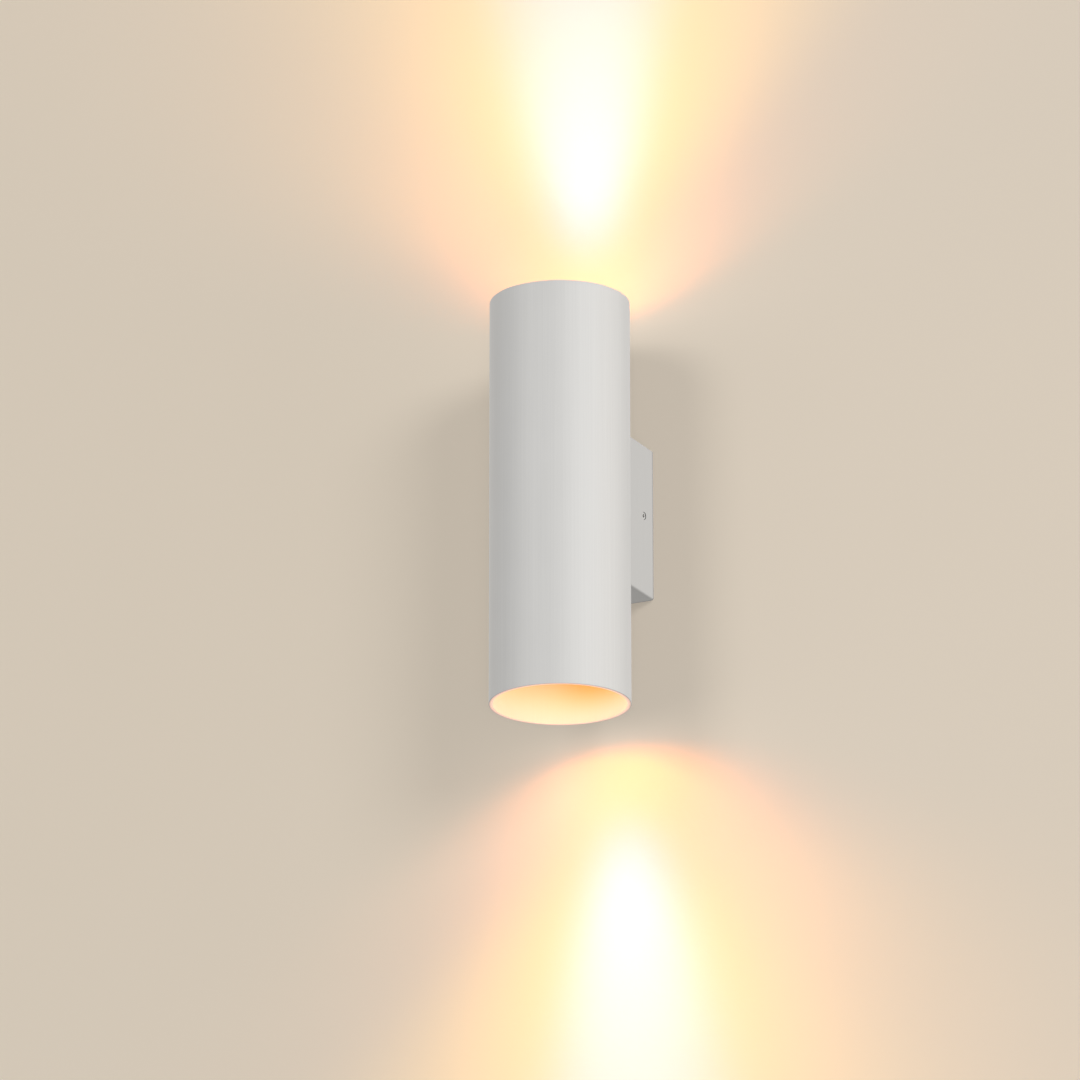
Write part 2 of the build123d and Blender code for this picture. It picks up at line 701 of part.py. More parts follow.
write("tube_body", [make_tube_body()])
write("wall_box", [make_wall_box()])
write("right_set_screw", [make_set_screw()])
write("left_set_screw", [Pos(0, -2 * set_screw_to_wall, 0) * Rot(0, 0, 180) * make_set_screw()])
write("wall_bracket", [make_wall_bracket()])
write("cable_grommet", [make_cable_grommet()])

write("carrier_screws", centreline_screws(carrier_screw_z, saddle_seat_y - web_front_y))
write("carrier_screw_washers", centreline_washers(carrier_screw_z))
write("box_screws", centreline_screws(box_screw_z, saddle_seat_y - nut_seat_y + nut_height))
write("box_screw_washers", centreline_washers(box_screw_z))
write("box_nuts", make_box_nuts())

write("lamp_carrier", [make_lamp_carrier()])
write("terminal_block", [make_terminal_block()])
write("terminal_clamps", make_terminal_clamps())
write("terminal_screws", make_clamp_screws())
write("earth_screw", [make_earth_screw()])
write("earth_lug", [make_earth_lug()])

upper_pieces = {
    "lampholder": [make_lampholder()],
    "holder_contacts": make_holder_contacts(),
    "holder_screws": make_holder_screws(),
    "lamp_shell": [make_lamp_shell()],
    "lamp_base": [make_lamp_base()],
    "lamp_pins": make_lamp_pins(),
    "lamp_board": [make_lamp_board()],
    "lamp_emitter": [make_lamp_emitter()],
    "lamp_reflector": [make_lamp_reflector()],
    "lamp_lens": [make_lamp_lens()],
}
for name, shapes in upper_pieces.items():
    write(f"upper_{name}", shapes)
    write(f"lower_{name}", [turned(shape) for shape in shapes])

# Live comes from the upper pole, neutral from the lower, earth from the middle
live_z, neutral_z = pole_heights[0], pole_heights[-1]
write("upper_live_lead", [holder_lead(live_z + bore_offset, 1, 1, live_turn_from_axis)])
write("lower_live_lead", [holder_lead(live_z - bore_offset, 1, -1, live_turn_from_axis)])
write("upper_neutral_lead", [holder_lead(neutral_z + bore_offset, -1, 1, neutral_turn_from_axis)])
write("lower_neutral_lead", [holder_lead(neutral_z - bore_offset, -1, -1, neutral_turn_from_axis)])
write("earth_lead", [make_earth_lead()])

print(f"lamp front set back {tube_length / 2 - lamp_front_z:.2f} mm from the tube's mouth")
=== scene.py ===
"""Tube wall light that shines up and down: finishes, and finer surfaces for the pieces that show.

The sizes are millimetres in the solids' own frame: the wall is the plane y = 0, the light stands out
towards -Y, +Z is up. make_piece turns them into metres.
"""

import math

import bmesh
import bpy
import numpy as np
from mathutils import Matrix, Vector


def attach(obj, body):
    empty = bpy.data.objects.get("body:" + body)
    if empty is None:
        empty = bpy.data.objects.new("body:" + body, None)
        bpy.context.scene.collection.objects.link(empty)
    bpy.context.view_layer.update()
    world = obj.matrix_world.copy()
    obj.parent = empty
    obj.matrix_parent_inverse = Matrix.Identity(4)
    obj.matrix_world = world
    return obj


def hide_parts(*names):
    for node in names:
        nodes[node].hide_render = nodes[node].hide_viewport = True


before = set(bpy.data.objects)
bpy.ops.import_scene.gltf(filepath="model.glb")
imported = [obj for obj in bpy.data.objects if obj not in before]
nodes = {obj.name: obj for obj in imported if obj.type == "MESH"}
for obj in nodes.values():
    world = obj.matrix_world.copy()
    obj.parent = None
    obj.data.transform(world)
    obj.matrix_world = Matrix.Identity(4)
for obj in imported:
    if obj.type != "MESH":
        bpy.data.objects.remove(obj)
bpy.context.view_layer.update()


# ---------------------------------------------------------------- wall bracket
# Folded from 1.5 mm zinc-plated steel: a plate with two upright slots for the wall screws, two side flanges
# that the set screws bear on, and a cable hole in a pressed dish. Its edges are punched, then deburred.
class Reading:
    """A number or colour inside a finish. Arithmetic on it adds the node that works it out."""

    def __init__(self, graph, socket):
        self.graph = graph
        self.socket = socket

    def math(self, operation, *others):
        return self.graph.node("ShaderNodeMath", {"operation": operation}, [self, *others])

    def __add__(self, other):
        return self.math("ADD", other)

    def __sub__(self, other):
        return self.math("SUBTRACT", other)

    def __rsub__(self, other):
        return self.math("MULTIPLY_ADD", -1.0, other)

    def __mul__(self, other):
        return self.math("MULTIPLY", other)

    def __truediv__(self, other):
        return self.math("DIVIDE", other)

    def __abs__(self):
        return self.math("ABSOLUTE")

    def __lt__(self, other):
        return self.math("LESS_THAN", other)

    def __gt__(self, other):
        return self.math("GREATER_THAN", other)

    __radd__ = __add__
    __rmul__ = __mul__

    def eased(self, low, high):
        """0 below low, 1 above high, and a smooth step between."""
        settings = {"interpolation_type": "SMOOTHSTEP"}
        inputs = {"Value": self, "From Min": low, "From Max": high}
        return self.graph.node("ShaderNodeMapRange", settings, inputs)


class Graph:
    """A node tree. Positions and sizes in it are millimetres."""

    def __init__(self, tree):
        self.tree = tree

    def node(self, kind, settings=None, inputs=(), output=0):
        """Adds a node. Settings are its properties; inputs go by name or by place."""
        made = self.tree.nodes.new(kind)
        for key, value in (settings or {}).items():
            setattr(made, key, value)
        for key, value in inputs.items() if isinstance(inputs, dict) else enumerate(inputs):
            if isinstance(value, Reading):
                self.tree.links.new(value.socket, made.inputs[key])
            else:
                made.inputs[key].default_value = value
        return Reading(self, made.outputs[output])

    def mix(self, share, first, second):
        """The first colour where share is 0, the second where it is 1."""
        return self.node("ShaderNodeMix", {"data_type": "RGBA"}, {0: share, 6: first, 7: second}, output=2)

    def place(self, scale=(1000, 1000, 1000), move=(0, 0, 0)):
        """The point on the piece, in millimetres unless scaled otherwise."""
        point = self.node("ShaderNodeTexCoord", output="Object")
        return self.node("ShaderNodeMapping", inputs={"Vector": point, "Scale": scale, "Location": move})

    def along(self, axis):
        """One coordinate of that point."""
        return self.node("ShaderNodeSeparateXYZ", inputs=[self.place()], output="XYZ".index(axis))

    def noise(self, size, stretch=(1, 1, 1), detail=2.0):
        """Cloudy values about 0.5, of that size, longer along an axis by its stretch."""
        scale = [1000 / (size * longer) for longer in stretch]
        inputs = {"Vector": self.place(scale), "Scale": 1.0, "Detail": detail, "Roughness": 0.55}
        return self.node("ShaderNodeTexNoise", inputs=inputs)


class Finish(Graph):
    """A material on the Principled shader, its even values set on the shader's own sockets."""

    def __init__(self, name, **sockets):
        self.material = bpy.data.materials.new(name)
        self.material.use_nodes = True
        super().__init__(self.material.node_tree)
        self.shader = self.tree.nodes["Principled BSDF"]
        for socket, value in sockets.items():
            self.shader.inputs[socket.replace("_", " ")].default_value = value

    def vary(self, socket, reading):
        self.tree.links.new(reading.socket, self.shader.inputs[socket])

    def relief(self, height, depth):
        """Raises the surface by up to depth where height is 1."""
        inputs = {"Height": height, "Distance": depth / 1000, "Strength": 1.0}
        self.vary("Normal", self.node("ShaderNodeBump", inputs=inputs))


def plated(name, low, high, roughness, flow=(1, 1, 1)):
    """Plated or bare metal: two tones in soft clouds, fine rolling marks along flow, a trace of grain."""
    finish = Finish(name, Metallic=1.0)
    clouds = finish.noise(6.0, detail=4.0)
    rolled = finish.noise(0.25, flow)
    finish.vary("Base Color", finish.mix(clouds * 0.7 + rolled * 0.3, (*low, 1), (*high, 1)))
    finish.vary("Roughness", roughness - 0.12 + clouds * 0.12 + rolled * 0.12)
    finish.relief(rolled, 0.006)
    return finish


def ticks(*stops):
    """Grid lines from (value, steps) pairs: that many equal steps lead up to each value after the first."""
    lines = [[stops[0][0]]]
    for (before, _), (value, steps) in zip(stops, stops[1:]):
        lines.append(np.linspace(before, value, steps + 1)[1:])
    return np.concatenate(lines)


def cells(count_u, count_v, closed_u=False, closed_v=False):
    """The four corners of each cell of a grid of points, as an array of cells by cells by four."""
    i = np.arange(count_u - 1 + closed_u)[:, None]
    j = np.arange(count_v - 1 + closed_v)[None, :]
    after_i, after_j = (i + 1) % count_u, (j + 1) % count_v
    corners = [i * count_v + j, after_i * count_v + j, after_i * count_v + after_j, i * count_v + after_j]
    return np.stack(np.broadcast_arrays(*corners), -1)


def pierced_sheet(front, rear, solid, columns, rows, closed=False):
    """A sheet with holes, from a grid of columns u by rows v.

    front(u, v) and rear(u, v) give the points of its two faces. solid(u, v) is the distance into the
    material, negative in a hole or outside the outline: a cell stays where it is positive at the cell's
    middle, the corners at the border move down its slope onto zero, and each border edge gets a wall between
    the faces.
    """
    u, v = np.meshgrid(columns[:-1] if closed else columns, rows, indexing="ij")
    cell = cells(*u.shape, closed)
    middle = np.meshgrid((columns[1:] + columns[:-1]) / 2, (rows[1:] + rows[:-1]) / 2, indexing="ij")
    kept = solid(*middle) > 0
    around = np.bincount(cell.ravel(), minlength=u.size)
    staying = np.bincount(cell[kept].ravel(), minlength=u.size)
    border = (staying > 0) & (staying < around)
    u, v, small = u.ravel(), v.ravel(), 1e-4
    for _ in range(3):
        a, b = u[border], v[border]
        slope_u = (solid(a + small, b) - solid(a - small, b)) / (2 * small)
        slope_v = (solid(a, b + small) - solid(a, b - small)) / (2 * small)
        step = solid(a, b) / np.maximum(slope_u**2 + slope_v**2, 0.1)
        u[border], v[border] = a - step * slope_u, b - step * slope_v
    beyond = np.pad(kept, 1)
    if closed:
        beyond[0], beyond[-1] = beyond[-2], beyond[1]
    beside = [beyond[1:-1, :-2], beyond[2:, 1:-1], beyond[1:-1, 2:], beyond[:-2, 1:-1]]
    walls = []
    for side, neighbour in enumerate(beside):
        edge = cell[kept & ~neighbour][:, [side, (side + 1) % 4]]
        walls.append(np.column_stack([edge, edge[:, ::-1] + u.size]))
    quads = np.concatenate([cell[kept], cell[kept][:, ::-1] + u.size, *walls])
    used, quads = np.unique(quads, return_inverse=True)
    return np.concatenate([front(u, v), rear(u, v)])[used], quads.reshape(-1, 4)


def make_piece(name, shells, finish, body, replaced=(), edge=0.0, sharp=35):
    """Closed shells of quads as one mesh in metres: doubles merged, faces outwards, sharp edges rounded."""
    mesh = bpy.data.meshes.new(name)
    starts = np.cumsum([0] + [len(points) for points, _ in shells])
    points = np.concatenate([points for points, _ in shells]) / 1000
    quads = np.concatenate([quads + start for (_, quads), start in zip(shells, starts)])
    mesh.from_pydata(points, [], quads)
    work = bmesh.new()
    work.from_mesh(mesh)
    bmesh.ops.remove_doubles(work, verts=work.verts, dist=2e-7)
    bmesh.ops.recalc_face_normals(work, faces=work.faces)
    work.to_mesh(mesh)
    work.free()
    mesh.polygons.foreach_set("use_smooth", np.ones(len(mesh.polygons), bool))
    mesh.set_sharp_from_angle(angle=math.radians(sharp))
    mesh.materials.append(finish.material)
    piece = bpy.data.objects.new(name, mesh)
    bpy.context.scene.collection.objects.link(piece)
    if edge:
        rounding = piece.modifiers.new("rounded edges", "BEVEL")
        rounding.width = edge / 1000
        rounding.segments = 2
        rounding.limit_method = "ANGLE"
        rounding.angle_limit = math.radians(sharp)
        rounding.harden_normals = True
    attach(piece, body)
    if replaced:
        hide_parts(*replaced)
    return piece


def finish_node(finish, *names):
    """Gives CAD nodes this finish in place of their plain one."""
    for name in names:
        nodes[name].data.materials.clear()
        nodes[name].data.materials.append(finish.material)


def box_distance(u, v, half_u, half_v, corner=0.0):
    """Distance into a rectangle about the origin, its corners rounded."""
    over_u, over_v = np.abs(u) - half_u + corner, np.abs(v) - half_v + corner
    outside = np.hypot(np.maximum(over_u, 0), np.maximum(over_v, 0))
    return corner - outside - np.minimum(np.maximum(over_u, over_v), 0)


def hole(u, v, at_u, at_v, radius, reach=0.0):
    """Distance from a round hole's edge, or from an upright slot's that reaches both ways from its middle."""
    over = np.maximum(np.abs(v - at_v) - reach, 0)
    return np.hypot(u - at_u, over) - radius


def folded(s, fold, radius, outset):
    """A strip's line in plan: flat to s = fold either way, a quarter turn of that radius, then straight on.

    Returns how far along the flat and how far out of it the point is, on a surface outset from the rear one.
    """
    past = np.maximum(np.abs(s) - fold, 0)
    angle = np.minimum(past / radius, math.pi / 2)
    straight = np.maximum(past - radius * math.pi / 2, 0)
    sideways = np.minimum(np.abs(s), fold) + (radius - outset) * np.sin(angle)
    return np.sign(s) * sideways, outset + (radius - outset) * (1 - np.cos(angle)) + straight


flange_x, bracket_sheet, bracket_fold, flange_depth = 20.15, 1.5, 2.5, 15.5
bracket_half_height, flange_half_height, relief_half_height = 37.5, 14.0, 15.2
slot_z, slot_radius, slot_reach = 30.0, 2.5, 2.0
cable_hole, cable_hole_radius = (-9.7, -21.0), 5.35
dish_radius, dish_slope, dish_depth = 8.6, 1.5, 1.2
fold_start = flange_x - bracket_fold
fold_end = fold_start + bracket_fold * math.pi / 2
flange_end = fold_end + flange_depth - bracket_fold


def bracket_solid(s, z):
    """The plate with its reliefs, joined by the flanges' band, less two slots and the cable hole."""
    relief = np.minimum(relief_half_height - np.abs(z), np.abs(s) - flange_x + bracket_fold)
    plate = np.minimum(box_distance(s, z, flange_x, bracket_half_height, bracket_fold), -relief)
    flanges = np.minimum(flange_half_height - np.abs(z), flange_end - np.abs(s))
    slots = hole(s, np.abs(z), 0.0, slot_z, slot_radius, slot_reach)
    cable = hole(s, z, *cable_hole, cable_hole_radius)
    return np.minimum(np.minimum(np.maximum(plate, flanges), slots), cable)


def bracket_face(outset):
    """The bracket's rear face, or its front face one sheet further from the wall, dished at the hole."""
    def face(s, z):
        x, out = folded(s, fold_start, bracket_fold, outset)
        flat = np.abs(z) > (flange_half_height + relief_half_height) / 2
        x, out = np.where(flat, s, x), np.where(flat, outset, out)
        from_cable = np.hypot(s - cable_hole[0], z - cable_hole[1])
        rise = np.clip((dish_radius - from_cable) / dish_slope, 0, 1)
        return np.stack([x, -out - dish_depth * rise * rise * (3 - 2 * rise), z], -1)
    return face


half_columns = ticks((0, 0), (fold_start, 30), (fold_end, 8), (flange_end, 14))
bracket_columns = np.concatenate([-half_columns[:0:-1], half_columns])
bracket_rows = ticks(
    (-bracket_half_height, 0), (-relief_half_height, 32), (-flange_half_height, 1),
    (flange_half_height, 20), (relief_half_height, 1), (bracket_half_height, 32))
bracket_shell = pierced_sheet(
    bracket_face(0.0), bracket_face(bracket_sheet), bracket_solid, bracket_columns, bracket_rows)
zinc = plated("zinc plated sheet", (0.50, 0.52, 0.54), (0.68, 0.69, 0.70), 0.36, (1, 1, 30))
make_piece("mounting_bracket", [bracket_shell], zinc, "bracket", ["wall_bracket"], edge=0.12)


# ---------------------------------------------------------------- cable grommet
# A black rubber bush, moulded in one: a lip sits in the bracket's dish and a lip on its front, and the mains
# cable comes through its bore. The rubber is matt, with a little bloom on its rounded lips.
TURNS = {
    "up": np.eye(3),
    "down": np.diag([-1.0, 1.0, -1.0]),
    "out": np.array([[1.0, 0, 0], [0, 0, -1], [0, 1, 0]]),
    "right": np.array([[0, 0, 1.0], [0, 1, 0], [-1, 0, 0]]),
    "left": np.array([[0, 0, -1.0], [0, 1, 0], [1, 0, 0]]),
}


def softened(outline, radius, ring=True, steps=3):
    """The outline with each corner replaced by a parabola between points about radius along its two edges."""
    corner = np.array(outline, float)
    before, after = np.roll(corner, 1, 0) - corner, np.roll(corner, -1, 0) - corner
    reach = [
        np.minimum(radius / np.linalg.norm(way, axis=1, keepdims=True), 0.45) * way
        for way in (before, after)
    ]
    t = np.linspace(0, 1, steps + 1)[None, :, None]
    start, end = (corner + reach[0])[:, None], (corner + reach[1])[:, None]
    arcs = (1 - t) ** 2 * start + 2 * t * (1 - t) * corner[:, None] + t**2 * end
    if ring:
        return arcs.reshape(-1, 2)
    return np.concatenate([corner[:1], arcs[1:-1].reshape(-1, 2), corner[-1:]])


def turned(outline, ring=True, count=64, shape=None):
    """A surface of revolution: the outline's (radius, height) points go round the Z axis.

    A ring outline closes on itself, and any other runs from the axis to the axis. shape(angle, radius,
    height) may give each point another radius.
    """
    angle = np.arange(count)[:, None] * 2 * math.pi / count
    radius, height = np.array(outline).T[:, None, :]
    radius = shape(angle, radius, height) if shape else radius
    grid = np.broadcast_arrays(radius * np.cos(angle), radius * np.sin(angle), height)
    quads = cells(count, len(outline), True, ring).reshape(-1, 4)
    return np.stack(grid, -1).reshape(-1, 3), quads


def put(shell, at, turn="up"):
    """The shell turned so that its Z points that way, its origin moved to a point."""
    points, quads = shell
    return points @ TURNS[turn].T + np.array(at), quads


grommet_outline = [
    (3.75, 0.0), (6.95, 0.0), (6.95, 1.0), (5.30, 1.0), (5.30, 2.6), (6.95, 2.6), (6.95, 3.6), (3.75, 3.6)
]
rubber = Finish("black rubber", Specular_IOR_Level=0.35)
bloom = rubber.noise(2.5, detail=4.0)
pores = rubber.noise(0.12)
rubber.vary("Base Color", rubber.mix(bloom, (0.014, 0.014, 0.015, 1), (0.034, 0.033, 0.032, 1)))
rubber.vary("Roughness", 0.58 + bloom * 0.22)
rubber.relief(pores, 0.02)
bush_rear_y = -0.15
bush = put(turned(softened(grommet_outline, 0.4)), (cable_hole[0], bush_rear_y, cable_hole[1]), "out")
make_piece("cable_bush", [bush], rubber, "bracket", ["cable_grommet"], sharp=60)


# ---------------------------------------------------------------- lamp carrier
# A C-shaped strip of 1.2 mm plated steel inside the tube: its web bears on the bore, and each shelf carries a
# lampholder. It is blanked with its holes, then bent.
axis_y, shelf_z, carrier_half = -54.9, 20.85, 13.0
web_rear_y, shelf_front_y = axis_y + 31.367, axis_y - 15.0
carrier_sheet, carrier_fold, carrier_corner = 1.2, 2.2, 3.0
web_screw_z, peg_z, earth_screw_x, holder_screw_from_axis = 16.05, 3.75, -10.0, 10.5
screw_hole, peg_hole, lead_opening = 1.55, 1.9, 8.0
web_half = shelf_z - carrier_fold
shelf_start = web_half + carrier_fold * math.pi / 2
carrier_end = shelf_start + web_rear_y - carrier_fold - shelf_front_y
axis_s = shelf_start + web_rear_y - carrier_fold - axis_y


def carrier_solid(s, x):
    """The strip, less its screw holes, the pegs' holes and the round hole for the leads in each shelf."""
    high = np.abs(s)
    strip = box_distance(s, x, carrier_end, carrier_half, carrier_corner)
    holes = [
        hole(high, x, web_screw_z, 0.0, screw_hole),
        hole(high, x, peg_z, 0.0, peg_hole),
        hole(s, x, 0.0, earth_screw_x, screw_hole),
        hole(high, x, axis_s, 0.0, lead_opening),
        hole(high, x, axis_s + holder_screw_from_axis, 0.0, screw_hole),
        hole(high, x, axis_s - holder_screw_from_axis, 0.0, screw_hole),
    ]
    return np.minimum.reduce([strip, *holes])


def carrier_face(outset):
    """The face at the tube's bore, or the inner face one sheet further in."""
    def face(s, x):
        z, out = folded(s, web_half, carrier_fold, outset)
        return np.stack([x, web_rear_y - out, z], -1)
    return face


half_columns = ticks((0, 0), (web_half, 24), (shelf_start, 8), (carrier_end, 54))
carrier_columns = np.concatenate([-half_columns[:0:-1], half_columns])
carrier_rows = ticks((-carrier_half, 0), (carrier_half, 34))
strip = pierced_sheet(
    carrier_face(0.0), carrier_face(carrier_sheet), carrier_solid, carrier_columns, carrier_rows)
carrier_zinc = plated("zinc plated strip", (0.52, 0.53, 0.53), (0.70, 0.70, 0.69), 0.34, (30, 1, 1))
make_piece("carrier_strip", [strip], carrier_zinc, "fitting", ["lamp_carrier"], edge=0.1)


# ---------------------------------------------------------------- terminal block, clamps and earth
# A moulded white block that snaps into the carrier, with a brass sleeve and two steel screws in each of its
# three poles. The earth lug is tinned copper, held on the web by a pan screw.
def moulded(name, low, high, roughness, grain):
    """Moulded plastic or ceramic: an even tone with slow clouds, and a fine grain from the mould."""
    finish = Finish(name, Specular_IOR_Level=0.45)
    clouds = finish.noise(7.0, detail=3.0)
    skin = finish.noise(grain, detail=3.0)
    finish.vary("Base Color", finish.mix(clouds * 0.6 + skin * 0.4, (*low, 1), (*high, 1)))
    finish.vary("Roughness", roughness - 0.08 + skin * 0.16)
    finish.relief(skin, grain * 0.08)
    return finish


block_plastic = moulded("white moulded block", (0.66, 0.65, 0.61), (0.76, 0.75, 0.71), 0.42, 0.18)
finish_node(block_plastic, "terminal_block")
brass = plated("clamp brass", (0.60, 0.44, 0.20), (0.78, 0.60, 0.30), 0.34, (12, 1, 1))
finish_node(brass, "terminal_clamps")
tinned = plated("tinned copper", (0.62, 0.58, 0.54), (0.74, 0.71, 0.67), 0.38)
finish_node(tinned, "earth_lug")


def screw_steel(name, axis, from_height, to_height, pitch):
    """Plated screw steel, its thread drawn as close rings along the axis between two heights."""
    finish = plated(name, (0.55, 0.56, 0.58), (0.74, 0.74, 0.75), 0.30)
    height = finish.along(axis)
    height = abs(height) if axis == "Z" else height
    rings = abs((height / pitch).math("FRACT") - 0.5) * 2
    thread = rings * (height > from_height) * (height < to_height)
    finish.relief(thread, pitch * 0.4)
    return finish


finish_node(screw_steel("clamp screw steel", "Y", axis_y + 36.0, axis_y + 40.6, 0.45), "terminal_screws")
finish_node(screw_steel("earth screw steel", "Y", axis_y + 29.5, axis_y + 32.0, 0.5), "earth_screw")


# ---------------------------------------------------------------- lampholders
# Each is a fired ceramic puck with two arc slots that the lamp's pins twist into, sprung bronze contacts
# below them, and two pan screws in wells that hold it on the carrier's shelf.
ceramic = moulded("fired ceramic", (0.68, 0.66, 0.60), (0.80, 0.78, 0.73), 0.52, 0.3)
finish_node(ceramic, "upper_lampholder", "lower_lampholder")
bronze = plated("contact bronze", (0.52, 0.36, 0.22), (0.68, 0.50, 0.33), 0.32, (8, 1, 1))
finish_node(bronze, "upper_holder_contacts", "lower_holder_contacts")
holder_screw_steel = screw_steel("holder screw steel", "Z", 17.0, 27.4, 0.5)
finish_node(holder_screw_steel, "upper_holder_screws", "lower_holder_screws")


# ---------------------------------------------------------------- leads
# Stranded copper in silicone sleeves of 1.8 mm, stiff enough to keep the bends that they were given: brown
# and blue from the block to each lampholder, green and yellow to the earth lug.
def silicone(name, low, high, stripe=None):
    """Rubbery sleeve with drag marks along it; a stripe of another colour may run along one side."""
    finish = Finish(name, Specular_IOR_Level=0.4)
    across = finish.node("ShaderNodeSeparateXYZ", inputs=[finish.node("ShaderNodeUVMap")], output=1)
    tone = finish.noise(0.9, detail=3.0)
    colour = finish.mix(tone, (*low, 1), (*high, 1))
    if stripe:
        colour = finish.mix(abs(across - 0.5) < 0.17, colour, (*stripe, 1))
    finish.vary("Base Color", colour)
    finish.vary("Roughness", 0.42 + tone * 0.2)
    finish.relief(finish.noise(0.2), 0.012)
    return finish


def lead_line(route):
    """The points of a smooth spline that the route's points steer."""
    curve = bpy.data.curves.new("route", "CURVE")
    curve.dimensions = "3D"
    spline = curve.splines.new("NURBS")
    spline.points.add(len(route) - 1)
    spline.points.foreach_set("co", np.column_stack([route, np.ones(len(route))]).ravel())
    spline.order_u = 3
    spline.use_endpoint_u = True
    spline.resolution_u = 12
    holder = bpy.data.objects.new("route", curve)
    line = bpy.data.meshes.new_from_object(holder)
    points = np.array([vertex.co for vertex in line.vertices])
    bpy.data.objects.remove(holder)
    return points


def swept(line, radius, count=20):
    """A round section carried along a line of points, its ends closed by a ring of no radius.

    It is kept from twisting: each next side direction is the last one less its part along the new direction.
    """
    along = np.gradient(line, axis=0)
    along /= np.linalg.norm(along, axis=1, keepdims=True)
    sides = [np.cross(along[0], [0.31, 0.22, 0.93])]
    for way in along[1:]:
        sides.append(sides[-1] - way * (sides[-1] @ way))
    side = np.array(sides)
    side /= np.linalg.norm(side, axis=1, keepdims=True)
    other = np.cross(along, side)
    angle = np.arange(count) * 2 * math.pi / count
    ring = side[:, None] * np.cos(angle)[None, :, None] + other[:, None] * np.sin(angle)[None, :, None]
    points = line[:, None] + ring * radius
    points = np.concatenate([points[:1] * 0 + line[0], points, points[-1:] * 0 + line[-1]])
    return points.reshape(-1, 3), cells(len(line) + 2, count, False, True).reshape(-1, 4)


def make_lead(name, route, finish):
    """The sleeve, with a UV map that runs along it and round it. It replaces the CAD lead of that name."""
    line = lead_line(route)
    mesh = make_piece(name, [swept(line, lead_radius)], finish, "fitting", [name]).data
    place = np.array([vertex.co for vertex in mesh.vertices]) * 1000
    nearest = np.argmin(np.linalg.norm(place[:, None] - line[None], axis=2), axis=1)
    around = np.arctan2(place[:, 2] - line[nearest][:, 2], place[:, 1] - line[nearest][:, 1]) / (2 * math.pi)
    loops = np.zeros(len(mesh.loops), int)
    mesh.loops.foreach_get("vertex_index", loops)
    layer = mesh.uv_layers.new(name="UVMap")
    layer.uv.foreach_set("vector", np.column_stack([nearest[loops] / len(line), around[loops] % 1.0]).ravel())


lead_radius, clamp_y, barrel_y = 0.9, axis_y + 35.567, axis_y + 28.767
clamp_x, swing_x, pin_x, lead_end_z = 2.4, 15.4, 5.0, 22.8


def holder_route(level, x_side, z_side, turn):
    """From the block's right side, round the edge of the web, to a lead hole of a lampholder."""
    hole_x = x_side * pin_x
    return [
        (clamp_x, clamp_y, level),
        (swing_x, clamp_y, level),
        (swing_x, axis_y + turn, level),
        (hole_x, axis_y, level),
        (hole_x, axis_y, z_side * lead_end_z),
    ]


brown = silicone("brown silicone", (0.10, 0.045, 0.022), (0.15, 0.07, 0.035))
blue = silicone("blue silicone", (0.02, 0.09, 0.28), (0.035, 0.14, 0.38))
green = silicone("green and yellow silicone", (0.03, 0.20, 0.05), (0.05, 0.27, 0.08), (0.75, 0.60, 0.05))
make_lead("upper_live_lead", holder_route(8.9, 1, 1, 14.5), brown)
make_lead("lower_live_lead", holder_route(6.1, 1, -1, 14.5), brown)
make_lead("upper_neutral_lead", holder_route(-6.1, -1, 1, 17.5), blue)
make_lead("lower_neutral_lead", holder_route(-8.9, -1, -1, 17.5), blue)
earth_route = [
    (clamp_x, clamp_y, 1.4),
    (swing_x, clamp_y, 1.4),
    (swing_x, axis_y + 23.5, 1.4),
    (2.95, barrel_y, 0.0),
    (-6.6, barrel_y, 0.0),
]
make_lead("earth_lead", earth_route, green)


# ---------------------------------------------------------------- tube body
# Extruded aluminium tube, 72 by 2 mm and 215 mm long, open at both ends. It is blasted and anodised to a
# satin light grey, with faint die lines along it. The lamps' light is painted onto its rims and the first 20
# to 36 mm of its bore: they glow by an emission colour. Deeper in, and more so towards +X, painted shade
# turns that glow and the base colour a darker orange.
tube_radius, tube_bore, tube_half = 36.0, 34.0, 107.5
window_half_x, window_half_z, window_corner, box_screw_z = 18.0, 12.45, 3.0, 34.4


def round_tube(radius):
    """A cylinder about the tube's axis, u along its circumference at the outside from the rearmost line."""
    def face(u, z):
        angle = u / tube_radius
        return np.stack([radius * np.sin(angle), axis_y + radius * np.cos(angle), z], -1)
    return face


def rear_openings(x, z):
    """Distance from the window and the four screw holes in the rear of tube and saddle."""
    window = -box_distance(x, z, window_half_x, window_half_z, window_corner)
    screws = [hole(x, np.abs(z), 0.0, height, screw_hole) for height in (web_screw_z, box_screw_z)]
    return np.minimum.reduce([window, *screws])


def tube_solid(u, z):
    """All of the tube but those openings, which are only in its rear half."""
    x = tube_radius * np.sin(u / tube_radius)
    return np.where(np.cos(u / tube_radius) > 0, rear_openings(x, z), 10.0)


def from_tube_axis(finish):
    """How far a point is from the tube's axis, as a reading in that finish."""
    across = finish.place((1000, 1000, 0), (0, -axis_y, 0))
    return finish.node("ShaderNodeVectorMath", {"operation": "LENGTH"}, [across], "Value")


def anodised(name, low, high, roughness, lines):
    """Satin anodised aluminium: etched grain, faint die lines that are long along an axis, slow clouds.

    It is rougher inside a radius of 35 mm from the tube's axis, which is the bore of the tube.
    """
    finish = Finish(name, Metallic=1.0)
    grain = finish.noise(0.16, detail=3.0)
    drawn = finish.noise(0.8, lines, detail=4.0)
    clouds = finish.noise(28.0, detail=2.0)
    finish.colour = finish.mix(drawn * 0.6 + clouds * 0.25 + grain * 0.15, (*low, 1), (*high, 1))
    finish.vary("Base Color", finish.colour)
    outside = roughness - 0.08 + clouds * 0.06 + drawn * 0.06 + grain * 0.04
    finish.vary("Roughness", outside + (from_tube_axis(finish) < inner_skin) * 0.3)
    finish.relief(grain * 0.8 + drawn * 0.2, 0.004)
    return finish


